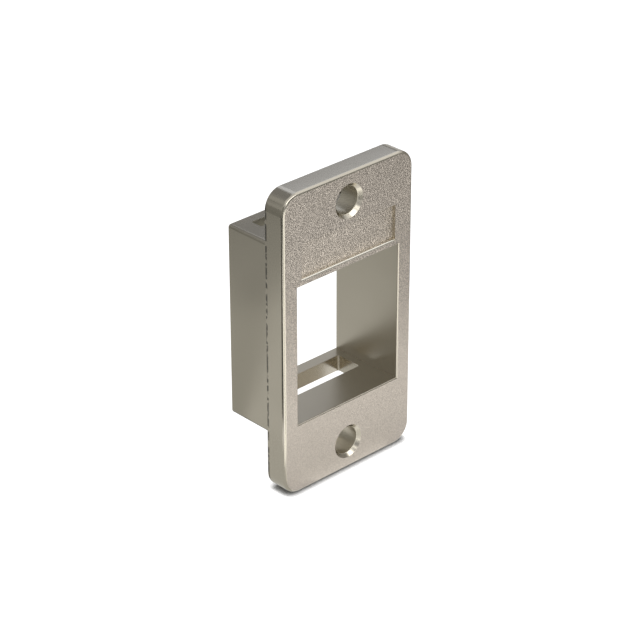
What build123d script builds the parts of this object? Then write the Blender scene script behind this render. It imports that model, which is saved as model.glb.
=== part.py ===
from build123d import *
import os

# Keystone holder: a flat plate with a rectangular opening and a short sleeve
# behind it, die-cast in one piece. The origin lies midway between the two screw
# holes, on the plate's rear face, which seats on the panel. +X is to the right
# seen from the front, +Y points back through the panel, +Z is up. Millimetres.

# Opening that the jack fills
opening_width = 14.9
opening_height = 16.5
opening_rim_round = 0.2

# Sleeve behind the plate, centred between the screw holes
sleeve_length = 6.8
side_wall = 1.15
floor_wall = 2.0
roof_wall = 1.3
sleeve_edge_round = 0.4
sleeve_rear_round = 0.2
sleeve_root_round = 0.3

# Casting draft of the sleeve's outside, in degrees
sleeve_draft = 0.5

# Room above the jack for its spring latch, open to the rear
latch_room_height = 3.2

# Slots that the jack's lug and latch snap into
catch_web = 1.4
slot_end_land = 1.05
floor_slot_length = 3.4
roof_slot_length = 1.5
slot_corner_radius = 0.25

# Screw holes over and under the sleeve
screw_hole_radius = 1.6
screw_chamfer = 0.4
screw_chamfer_angle = 90
screw_to_sleeve = 3.1

# Front plate, which stands out round the sleeve to seat on the panel
plate_thickness = 2.8
plate_seat_ledge = 0.9
plate_end_margin = 3.3
plate_corner_radius = 2.2
plate_front_round = 0.4
plate_rear_round = 0.15

# Recessed label field above the opening
label_height = 4.1
label_depth = 0.45
label_side_inset = 0.55
label_lip = 0.8
label_ledge_round = 0.28

# Sizes and places worked out from the ones above
sleeve_width = opening_width + 2 * side_wall
cavity_height = opening_height + latch_room_height
sleeve_height = floor_wall + cavity_height + roof_wall
sleeve_bottom = -sleeve_height / 2
opening_bottom = sleeve_bottom + floor_wall
opening_middle = opening_bottom + opening_height / 2
opening_top = opening_bottom + opening_height
cavity_middle = opening_bottom + cavity_height / 2
cavity_top = opening_bottom + cavity_height
slot_width = opening_width - 2 * slot_end_land
slot_rear = sleeve_length - catch_web
screw_spacing = sleeve_height + 2 * screw_to_sleeve
plate_width = sleeve_width + 2 * plate_seat_ledge
plate_height = screw_spacing + 2 * plate_end_margin
label_width = opening_width - 2 * label_side_inset
label_middle = opening_top + label_lip + label_height / 2

# The plate is drawn on its seating face, seen from the front, and the sleeve on
# the same plane seen from behind
front_view = Plane.XZ
plate_front = front_view.offset(plate_thickness)
rear_view = Plane(origin=(0, 0, 0), x_dir=(-1, 0, 0), z_dir=(0, 1, 0))

with BuildPart() as holder_casting:
    # Plate with round corners and softened outlines
    with BuildSketch(front_view):
        RectangleRounded(plate_width, plate_height, plate_corner_radius)
    extrude(amount=plate_thickness)
    plate_outlines = holder_casting.edges().group_by(Axis.Y)
    fillet(plate_outlines[0], radius=plate_front_round)
    fillet(plate_outlines[-1], radius=plate_rear_round)

    # Sleeve as a block with drafted sides, before it is hollowed
    with BuildSketch(rear_view):
        RectangleRounded(sleeve_width, sleeve_height, sleeve_edge_round)
    extrude(amount=sleeve_length, taper=sleeve_draft)
    sleeve_end = holder_casting.faces().sort_by(Axis.Y)[-1]
    fillet(sleeve_end.edges(), radius=sleeve_rear_round)

    # Fillet where the sleeve grows out of the seating face
    seating_face = holder_casting.faces().filter_by(Plane.XZ).sort_by(Axis.Y)[-2]
    fillet(seating_face.inner_wires()[0].edges(), radius=sleeve_root_round)

    # Opening through the plate, with a softened rim
    with BuildSketch(front_view):
        with Locations((0, opening_middle)):
            Rectangle(opening_width, opening_height)
    extrude(amount=plate_thickness, mode=Mode.SUBTRACT)
    front_face = holder_casting.faces().sort_by(Axis.Y)[0]
    fillet(front_face.inner_wires()[0].edges(), radius=opening_rim_round)

    # Inside of the sleeve, taller than the opening by the room for the latch
    with BuildSketch(rear_view):
        with Locations((0, cavity_middle)):
            Rectangle(opening_width, cavity_height)
    extrude(amount=sleeve_length, mode=Mode.SUBTRACT)

    # Slot through the floor of the sleeve for the jack's fixed lug
    with BuildSketch(Plane.XY.offset(opening_bottom)):
        with Locations((0, slot_rear - floor_slot_length / 2)):
            RectangleRounded(slot_width, floor_slot_length, slot_corner_radius)
    extrude(amount=-floor_wall, mode=Mode.SUBTRACT)

    # Narrow slot through the roof of the sleeve for the jack's spring latch
    with BuildSketch(Plane.XY.offset(cavity_top)):
        with Locations((0, slot_rear - roof_slot_length / 2)):
            RectangleRounded(slot_width, roof_slot_length, slot_corner_radius)
    extrude(amount=roof_wall, mode=Mode.SUBTRACT)

    # Label field sunk into the plate, with a narrow lip left over the opening whose
    # ledge, where the label rests, is rounded to the front
    with BuildSketch(plate_front):
        with Locations((0, label_middle)):
            Rectangle(label_width, label_height)
    extrude(amount=-label_depth, mode=Mode.SUBTRACT)
    front_face = holder_casting.faces().sort_by(Axis.Y)[0]
    label_rim = front_face.inner_wires().sort_by(Axis.Z)[-1]
    label_ledge = label_rim.edges().sort_by(Axis.Z)[0]
    fillet(label_ledge, radius=label_ledge_round)

    # Screw holes on the centre line, chamfered at the front
    with Locations(plate_front):
        with GridLocations(0, screw_spacing, 1, 2):
            CounterSinkHole(
                radius=screw_hole_radius,
                counter_sink_radius=screw_hole_radius + screw_chamfer,
                counter_sink_angle=screw_chamfer_angle,
                depth=plate_thickness,
            )

holder_casting.part.label = "holder_casting"

os.makedirs("parts", exist_ok=True)
export_step(holder_casting.part, "parts/holder_casting.step")
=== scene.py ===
from math import cos, radians, sin

import bpy
from mathutils import Euler, Matrix, Vector


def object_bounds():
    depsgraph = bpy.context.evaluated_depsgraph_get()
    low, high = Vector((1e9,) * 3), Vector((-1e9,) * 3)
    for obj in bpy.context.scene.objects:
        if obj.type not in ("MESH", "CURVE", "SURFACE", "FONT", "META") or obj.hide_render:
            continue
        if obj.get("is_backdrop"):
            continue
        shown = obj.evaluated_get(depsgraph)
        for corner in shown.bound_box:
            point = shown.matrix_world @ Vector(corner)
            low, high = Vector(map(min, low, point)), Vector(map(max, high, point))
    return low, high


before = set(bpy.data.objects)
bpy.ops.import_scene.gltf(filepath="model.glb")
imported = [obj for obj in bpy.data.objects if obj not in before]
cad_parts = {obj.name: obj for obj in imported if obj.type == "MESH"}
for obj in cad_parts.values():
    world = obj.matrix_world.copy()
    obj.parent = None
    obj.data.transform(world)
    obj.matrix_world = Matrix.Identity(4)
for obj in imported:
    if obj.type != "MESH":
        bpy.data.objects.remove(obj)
cad_low, cad_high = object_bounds()


# The holder casting
# One zinc die-casting: a front plate and a short sleeve behind it for the jack.
# It is plated in satin nickel. The die's spark-eroded face leaves a fine grain
# on the plate's front, and its polished sides leave the other faces smooth.

class Wire:
    """A shader socket that takes part in plain arithmetic by adding Math nodes."""

    def __init__(self, tree, socket=None):
        self.tree = tree
        self.socket = socket

    def node(self, kind, settings=None, inputs=None, output=0):
        """Adds any node: its settings first, then the values or links of its sockets."""
        made = self.tree.nodes.new(kind)
        for name, value in (settings or {}).items():
            setattr(made, name, value)
        for name, value in (inputs or {}).items():
            if isinstance(value, Wire):
                self.tree.links.new(value.socket, made.inputs[name])
            else:
                made.inputs[name].default_value = value
        return Wire(self.tree, made.outputs[output]) if made.outputs else None

    def math(self, operation, first, second=0.0):
        return self.node("ShaderNodeMath", {"operation": operation}, {0: first, 1: second})

    def __add__(self, other):
        return self.math("ADD", self, other)

    def __sub__(self, other):
        return self.math("SUBTRACT", self, other)

    def __rsub__(self, other):
        return self.math("SUBTRACT", other, self)

    def __mul__(self, other):
        return self.math("MULTIPLY", self, other)

    __radd__ = __add__
    __rmul__ = __mul__


def new_material(name):
    """A material with a bare node tree, and a Wire to build on it."""
    material = bpy.data.materials.new(name)
    material.use_nodes = True
    material.node_tree.nodes.clear()
    return material, Wire(material.node_tree)


def noise(vector, scale, detail, roughness):
    inputs = {"Vector": vector, "Scale": scale, "Detail": detail, "Roughness": roughness}
    return vector.node("ShaderNodeTexNoise", inputs=inputs)


def mixed(mask, under, over):
    """The colour under, and the colour over where the mask is 1."""
    inputs = {0: mask, 6: under, 7: over}
    return mask.node("ShaderNodeMix", {"data_type": "RGBA"}, inputs, output=2)


def rises(value, low, high):
    """0 below low, 1 above high and smooth between them."""
    settings = {"interpolation_type": "SMOOTHSTEP"}
    inputs = {"Value": value, "From Min": low, "From Max": high}
    return value.node("ShaderNodeMapRange", settings, inputs)


def between(value, start, end):
    """1 from the start to the end, each a pair of values that it blends over."""
    return rises(value, *start) - rises(value, *end)


nickel_colour = (0.53, 0.492, 0.417, 1.0)
nickel_tarnish_colour = (0.50, 0.462, 0.388, 1.0)
nickel_roughness = 0.20
mottle_per_metre = 160.0
mottle_roughness = 0.08
skin_per_metre = 420.0
skin_height = 0.000004
noise_turn = (0.6, 0.4, 0.9)

nickel, wire = new_material("satin_nickel")
place = wire.node("ShaderNodeTexCoord", output="Object")
facing = wire.node("ShaderNodeTexCoord", output="Normal")
sideways = wire.node("ShaderNodeSeparateXYZ", inputs={0: place}, output="X")
depth = wire.node("ShaderNodeSeparateXYZ", inputs={0: place}, output="Y")
height = wire.node("ShaderNodeSeparateXYZ", inputs={0: place}, output="Z")
turn = wire.node("ShaderNodeSeparateXYZ", inputs={0: facing}, output="Y")
off_centre = wire.math("ABSOLUTE", sideways)

# The noises are turned, so that no flat face lies along their lattice
turned = wire.node("ShaderNodeMapping", inputs={"Vector": place, "Rotation": noise_turn})
skin = noise(turned, skin_per_metre, detail=3.0, roughness=0.55)
mottle = noise(turned, mottle_per_metre, detail=2.0, roughness=0.5)
smooth_colour = mixed(mottle, nickel_colour, nickel_tarnish_colour)

# The grain covers what faces forward at the plate's front or in the label field,
# ends in a ragged line where the edges turn away, and is coarser at the top
grain_pit_colour = (0.306, 0.275, 0.242, 1.0)
grain_peak_colour = (0.65, 0.583, 0.512, 1.0)
grain_roughness = 0.37
grain_per_metre = 8500.0
grain_height = 0.00017
grain_rag = 0.06
speckle_range = (0.35, 0.65)
forward_facing = (0.955, 0.985)
front_end = (cad_low.y + 0.0006, cad_low.y + 0.0008)
coarse_heights = (-0.010, 0.008)
finest_grain = 0.35

grain = noise(turned, grain_per_metre, detail=1.0, roughness=0.6)
is_forward = rises((grain - 0.5) * grain_rag - turn, *forward_facing)
is_at_front = 1.0 - rises(depth, *front_end)
grained = is_forward * is_at_front
coarseness = finest_grain + (1.0 - finest_grain) * rises(height, *coarse_heights)
grain_contrast = 0.5 + (rises(grain, *speckle_range) - 0.5) * coarseness
speckle = mixed(grain_contrast, grain_pit_colour, grain_peak_colour)

# The label field is brighter, and brighter still at its foot: painted light there lifts
# the shade that the ledge throws into the field's reflection. The ledge's edge gets a
# painted highlight.
ledge_highlight_colour = (0.78, 0.745, 0.66, 1.0)
field_depths = (-0.0027, -0.0025)
foot_heights = (0.0079, 0.0089)
field_gain = 0.15
foot_painted_light = 0.35
ledge_start, ledge_end = (0.0074, 0.0076), (0.00781, 0.00783)
opening_sides = (0.00747, 0.00752)

in_field = rises(depth, *field_depths)
at_foot = 1.0 - rises(height, *foot_heights)
field_light = 1.0 + in_field * (field_gain + foot_painted_light * at_foot)
bright_field = wire.node(
    "ShaderNodeVectorMath", {"operation": "SCALE"}, {0: speckle, "Scale": field_light}
)
in_opening = 1.0 - rises(off_centre, *opening_sides)
on_ledge = between(height, ledge_start, ledge_end) * in_opening
plated = mixed(grained, smooth_colour, bright_field)
# A painted highlight: a pale colour on the ledge's rounded edge
with_ledge_highlight = mixed(on_ledge * (1.0 - grained) * is_at_front, plated, ledge_highlight_colour)

# A thin broken dark line along the rear edge of the plate's left and right sides
rear_edge_line_colour = (0.16, 0.15, 0.13, 1.0)
rear_edge_line_per_metre = 1400.0
rear_edge_line_range = (0.42, 0.54)
rear_edge_start, rear_edge_end = (-0.00042, -0.00026), (0.0, 0.0001)
rear_edge_sides = (0.0092, 0.0094)

rear_edge_line_spots = noise(turned, rear_edge_line_per_metre, detail=2.0, roughness=0.6)
at_rear_edge = between(depth, rear_edge_start, rear_edge_end) * rises(off_centre, *rear_edge_sides)
edged = mixed(at_rear_edge * rises(rear_edge_line_spots, *rear_edge_line_range), with_ledge_highlight, rear_edge_line_colour)

# The plating is thin and dull inside the screw holes and the roof's slot, and the slot's
# walls are also painted dark as painted shade. It is less bright on the walls that the
# jack slides along
hole_colour = (0.56, 0.52, 0.43, 1.0)
slot_painted_shade_colour = (0.25, 0.235, 0.19, 1.0)
screw_height = 0.0146
screw_radius = 0.00163
screw_rim = 0.00168
roof_start, roof_end = (0.01025, 0.01035), (0.01135, 0.01145)
slot_start, slot_end = (0.0036, 0.0037), (0.0056, 0.0057)
slot_sides = (0.00642, 0.0065)
jack_start, jack_end = (-0.0096, -0.00955), (0.00705, 0.0071)
dull_roughness = 0.2
inner_roughness = 0.1

from_screw = wire.math("ABSOLUTE", height) - screw_height
from_axis = sideways * sideways + from_screw * from_screw
in_screw_hole = 1.0 - rises(from_axis, screw_radius**2, screw_rim**2)
in_slot_ends = 1.0 - rises(off_centre, *slot_sides)
in_slot_walls = between(depth, slot_start, slot_end) * in_slot_ends
in_roof_slot = between(height, roof_start, roof_end) * in_slot_walls
dull = wire.math("MAXIMUM", in_screw_hole, in_roof_slot)
inside = in_opening * between(height, jack_start, jack_end)
holed = mixed(in_screw_hole, edged, hole_colour)
colour = mixed(in_roof_slot, holed, slot_painted_shade_colour)

face_roughness = nickel_roughness + grained * (grain_roughness - nickel_roughness)
inner_dulling = dull * dull_roughness + inside * inner_roughness
roughness = face_roughness + inner_dulling + (mottle - 0.5) * mottle_roughness
skin_bump = wire.node(
    "ShaderNodeBump", inputs={"Strength": 1.0, "Distance": skin_height, "Height": skin}
)
grain_bump = wire.node(
    "ShaderNodeBump",
    inputs={
        "Strength": 1.0,
        "Distance": grain_height,
        "Height": (grain - 0.5) * grained * coarseness,
        "Normal": skin_bump,
    },
)
metal = wire.node(
    "ShaderNodeBsdfPrincipled",
    inputs={
        "Base Color": colour,
        "Metallic": 1.0,
        "Roughness": roughness,
        "Normal": grain_bump,
    },
)
wire.node("ShaderNodeOutputMaterial", inputs={"Surface": metal})

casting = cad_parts["holder_casting"]
casting.material_slots[0].material = nickel


# The floor
# A plain white board under the plate's lower edge. Camera, glossy and transmitted rays see
# it white, and it keeps the object's shadow, with a painted contact shadow along the lower
# edges.

floor_half = 1.5
floor_colour = (0.75, 0.75, 0.75)
floor_glow = 0.92
mirror_glow = 0.68
contact_reach = 0.0008
contact_sky = (0.5, 0.98)
contact_shadow_paint = 0.25


def background_rays(wire):
    """1 for the rays that show the background: camera, glossy and transmitted ones."""
    camera_ray = wire.node("ShaderNodeLightPath", output="Is Camera Ray")
    glossy_ray = wire.node("ShaderNodeLightPath", output="Is Glossy Ray")
    clear_ray = wire.node("ShaderNodeLightPath", output="Is Transmission Ray")
    return wire.math("MINIMUM", camera_ray + glossy_ray + clear_ray, 1.0)


def flat_board(name, corners, material):
    """A flat board through four corners, marked as part of the studio."""
    mesh = bpy.data.meshes.new(name)
    mesh.from_pydata(corners, [], [(0, 1, 2, 3)])
    mesh.materials.append(material)
    board = bpy.data.objects.new(name, mesh)
    bpy.context.scene.collection.objects.link(board)
    board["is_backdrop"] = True
    return board


white_board, wire = new_material("white_board")
# Ambient occlusion darkens the floor's paint and its glow for the camera within a
# millimetre of the holder: a painted contact shadow, on top of the real shadow
open_sky = wire.node(
    "ShaderNodeAmbientOcclusion", {"samples": 3}, {"Distance": contact_reach}, "AO"
)
open_floor = rises(open_sky, *contact_sky)
shade = contact_shadow_paint + (1.0 - contact_shadow_paint) * open_floor
paint = wire.node(
    "ShaderNodeVectorMath", {"operation": "SCALE"}, {0: floor_colour, "Scale": shade}
)
matt = wire.node("ShaderNodeBsdfDiffuse", inputs={"Color": paint})
seen = wire.node("ShaderNodeLightPath", output="Is Camera Ray")
seen_glow = seen * open_floor * floor_glow
mirrored_glow = (background_rays(wire) - seen) * mirror_glow
glow = wire.node("ShaderNodeEmission", inputs={"Strength": seen_glow + mirrored_glow})
lit = wire.node("ShaderNodeAddShader", inputs={0: matt, 1: glow})
wire.node("ShaderNodeOutputMaterial", inputs={"Surface": lit})

floor_z = cad_low.z
floor_corners = [
    (-floor_half, -floor_half, floor_z),
    (floor_half, -floor_half, floor_z),
    (floor_half, floor_half, floor_z),
    (-floor_half, floor_half, floor_z),
]
flat_board("floor", floor_corners, white_board)


# The studio light
# A pale room with one soft box, and glowing cards, grey, white and brighter than white,
# that only the metal's reflections show and that light nothing else: painted reflections
# that give its sides their tones, as a photographer's cards do.

room_strength = 0.45

world = bpy.data.worlds.new("pale_room")
bpy.context.scene.world = world
world.use_nodes = True
world.node_tree.nodes.clear()
wire = Wire(world.node_tree)
room = wire.node("ShaderNodeBackground", inputs={"Strength": room_strength})
white = wire.node("ShaderNodeBackground", inputs={"Strength": 1.0})
background = background_rays(wire)
walls = wire.node("ShaderNodeMixShader", inputs={0: background, 1: room, 2: white})
wire.node("ShaderNodeOutputWorld", inputs={"Surface": walls})


def card(name, corners, tone):
    """A card that glows in one tone and shows in reflections and nowhere else: a painted
    reflection.
    """
    paper, wire = new_material(name)
    shade = wire.node("ShaderNodeEmission", inputs={"Color": (*tone, 1.0)})
    wire.node("ShaderNodeOutputMaterial", inputs={"Surface": shade})
    board = flat_board(name, corners, paper)
    board.visible_camera = False
    board.visible_diffuse = False
    board.visible_shadow = False
    board.visible_transmission = False


def ground_point(azimuth, distance):
    """A place on the floor plan: azimuth 0 is in front, 90 to the right."""
    turn = radians(azimuth)
    return distance * sin(turn), -distance * cos(turn)


def lying_corners(azimuths, distances, above_floor):
    """Corners of a card on the floor, from one azimuth to another."""
    (left, right), (near, far) = azimuths, distances
    places = [(left, near), (left, far), (right, far), (right, near)]
    return [(*ground_point(*place), floor_z + above_floor) for place in places]


def upright_corners(left, right, low, high):
    """Corners of a card that stands between two places of the floor plan."""
    return [(*left, low), (*right, low), (*right, high), (*left, high)]


# On the floor: the azimuths and distances that a card spans, its height over the
# floor, so that it covers the cards below it, and its tone
lying_cards = [
    # Bright, in front, for the front face, its rounds and the chamfers
    ("front_foot_sheet", (-60, 64), (0.0030, 0.0085), 0.0003, (1.25, 1.25, 1.22)),
    ("front_near_sheet", (-60, 64), (0.0085, 0.016), 0.0003, (0.98, 0.98, 0.95)),
    ("front_floor_sheet", (0, 26), (0.015, 0.230), 0.0004, (1.25, 1.25, 1.22)),
    ("front_round_sheet", (-40, 0), (0.015, 0.230), 0.0004, (1.75, 1.75, 1.7)),
    ("front_left_sheet", (-70, -40), (0.016, 0.068), 0.0004, (1.75, 1.75, 1.7)),
    ("front_left_gap_card", (-45, -38), (0.020, 0.066), 0.0006, (0.24, 0.24, 0.23)),
    ("middle_front_sheet", (26, 41), (0.015, 0.080), 0.0004, (2.2, 2.2, 2.14)),
    ("right_front_sheet", (41, 64), (0.015, 0.048), 0.0004, (1.12, 1.12, 1.09)),
    ("right_far_front_sheet", (41, 64), (0.047, 0.064), 0.0005, (0.30, 0.30, 0.29)),
    # Grey, at the left, for the sides of the plate and of the sleeve
    ("left_near_card", (-135, -60), (0.0100, 0.024), 0.0003, (0.64, 0.64, 0.61)),
    ("left_side_card", (-129, -101), (0.020, 0.074), 0.0004, (0.68, 0.68, 0.65)),
    ("sleeve_side_card", (222, 231), (0.010, 0.048), 0.0004, (0.45, 0.45, 0.42)),
    ("sleeve_high_side_card", (222, 231), (0.047, 0.068), 0.0004, (0.31, 0.31, 0.29)),
    # Grey, behind, for the walls of the opening
    ("inner_wall_card", (180, 222), (0.010, 0.055), 0.0004, (0.63, 0.63, 0.60)),
    # Dark, further out, for the upper parts of the same faces
    ("left_wedge_card", (-112, -70), (0.026, 0.5), 0.0005, (0.12, 0.12, 0.11)),
    ("front_left_floor_card", (-70, -40), (0.068, 0.5), 0.0005, (0.14, 0.14, 0.13)),
    ("front_floor_card", (26, 58), (0.082, 0.5), 0.0005, (0.32, 0.30, 0.29)),
    ("right_floor_card", (62, 105), (0.045, 0.5), 0.0005, (0.10, 0.09, 0.085)),
    ("right_rear_floor_card", (105, 150), (0.018, 0.5), 0.0005, (0.25, 0.25, 0.24)),
    ("back_floor_card", (150, 248), (0.075, 0.120), 0.0005, (0.38, 0.38, 0.36)),
    ("back_far_card", (150, 248), (0.100, 0.5), 0.0005, (0.24, 0.24, 0.22)),
]
for name, azimuths, distances, above_floor, tone in lying_cards:
    card(name, lying_corners(azimuths, distances, above_floor), tone)

# Dark, right under the sleeve: a card that paints the shade under the sleeve into the
# reflection of its lower edge
foot_z = floor_z + 0.0006
foot_plan = [(-0.0095, 0.004), (-0.0045, 0.004), (-0.0045, 0.013), (-0.0095, 0.013)]
card("sleeve_foot_shade_card", [(x, y, foot_z) for x, y in foot_plan], (0.10, 0.10, 0.09))

# Upright and straight, four behind the holder and one at its right: two places of
# the floor plan, then the lowest and the highest point. The four give the faces
# that look up their tones.
straight_cards = [
    ("back_card", (-0.04, 0.06), (0.14, 0.06), floor_z, 0.040, (0.66, 0.66, 0.66)),
    ("back_band", (-0.04, 0.06), (0.14, 0.06), 0.040, 0.057, (0.20, 0.20, 0.20)),
    ("sky_card", (0.060, 0.12), (0.35, 0.12), 0.02, 0.35, (0.90, 0.94, 1.04)),
    ("upper_back_card", (-0.075, 0.12), (0.060, 0.12), 0.08, 0.35, (0.30, 0.30, 0.30)),
    ("right_card", (0.050, -0.12), (0.050, 0.02), floor_z, 0.035, (0.34, 0.33, 0.31)),
]
for name, left, right, low, high, tone in straight_cards:
    card(name, upright_corners(left, right, low, high), tone)

# Upright, round the holder: two azimuths and a distance. They give the round
# corners and edges their bands, from the back round the left side to the front.
round_cards = [
    ("left_back_card", (226, 262), 0.15, 0.030, 0.16, (0.48, 0.48, 0.46)),
    ("left_back_low_card", (226, 262), 0.15, -0.017, 0.030, (0.28, 0.28, 0.26)),
    ("rear_left_card", (188, 226), 0.15, 0.088, 0.16, (0.48, 0.48, 0.46)),
    ("rear_left_low_card", (188, 226), 0.15, -0.017, 0.088, (0.15, 0.15, 0.14)),
    ("right_upper_card", (46, 122), 0.25, 0.16, 0.42, (1.2, 1.2, 1.2)),
    ("left_card", (-98, -48), 0.13, floor_z, 0.09, (0.28, 0.28, 0.26)),
    ("front_low_card", (-15, 46), 0.60, -0.010, 0.425, (0.28, 0.28, 0.28)),
    ("front_left_glint_card", (-36, -20), 0.28, 0.138, 0.260, (2.2, 2.2, 2.15)),
    ("front_left_low_card", (-38, -15), 0.28, 0.020, 0.095, (0.40, 0.40, 0.40)),
]
for name, azimuths, distance, low, high, tone in round_cards:
    left, right = (ground_point(azimuth, distance) for azimuth in azimuths)
    card(name, upright_corners(left, right, low, high), tone)


def looking_in(azimuth, elevation):
    """The turn of a lamp or camera that looks at the holder from there."""
    return Euler((radians(90 - elevation), 0.0, radians(azimuth)), "XYZ").to_matrix()


box_azimuth = -4
box_elevation = 48.5
box_distance = 0.7
box_width = 0.87
box_height = 0.14
box_watts = 1.2

box_light = bpy.data.lights.new("front_box", "AREA")
box_light.shape = "RECTANGLE"
box_light.size = box_width
box_light.size_y = box_height
box_light.energy = box_watts
soft_box = bpy.data.objects.new("front_box", box_light)
box_turn = looking_in(box_azimuth, box_elevation)
box_place = box_turn @ Vector((0.0, 0.0, box_distance))
soft_box.matrix_world = Matrix.Translation(box_place) @ box_turn.to_4x4()
soft_box.visible_camera = False
bpy.context.scene.collection.objects.link(soft_box)


# The camera
# It stands at the front left, a little above, with a long lens. Its place and lens
# come from the fit of one perspective camera to the photo's edges and corners.

camera_azimuth = -43.662
camera_elevation = 28.196
camera_roll = -0.0945
camera_distance = 0.26894
camera_aim = Vector((-0.002079, -0.000517, 0.000404))
camera_lens = 141.154

camera_data = bpy.data.cameras.new("camera")
camera_data.lens = camera_lens
camera_data.sensor_width = 36.0
camera_data.clip_start = 0.01
camera_data.clip_end = 10.0
camera = bpy.data.objects.new("camera", camera_data)
camera_turn = looking_in(camera_azimuth, camera_elevation)
roll_turn = Matrix.Rotation(radians(camera_roll), 3, "Z")
camera_place = camera_aim + camera_turn @ Vector((0.0, 0.0, camera_distance))
camera.matrix_world = Matrix.Translation(camera_place) @ (camera_turn @ roll_turn).to_4x4()
bpy.context.scene.collection.objects.link(camera)
bpy.context.scene.camera = camera
bpy.context.scene.view_settings.view_transform = "Standard"

low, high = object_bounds()
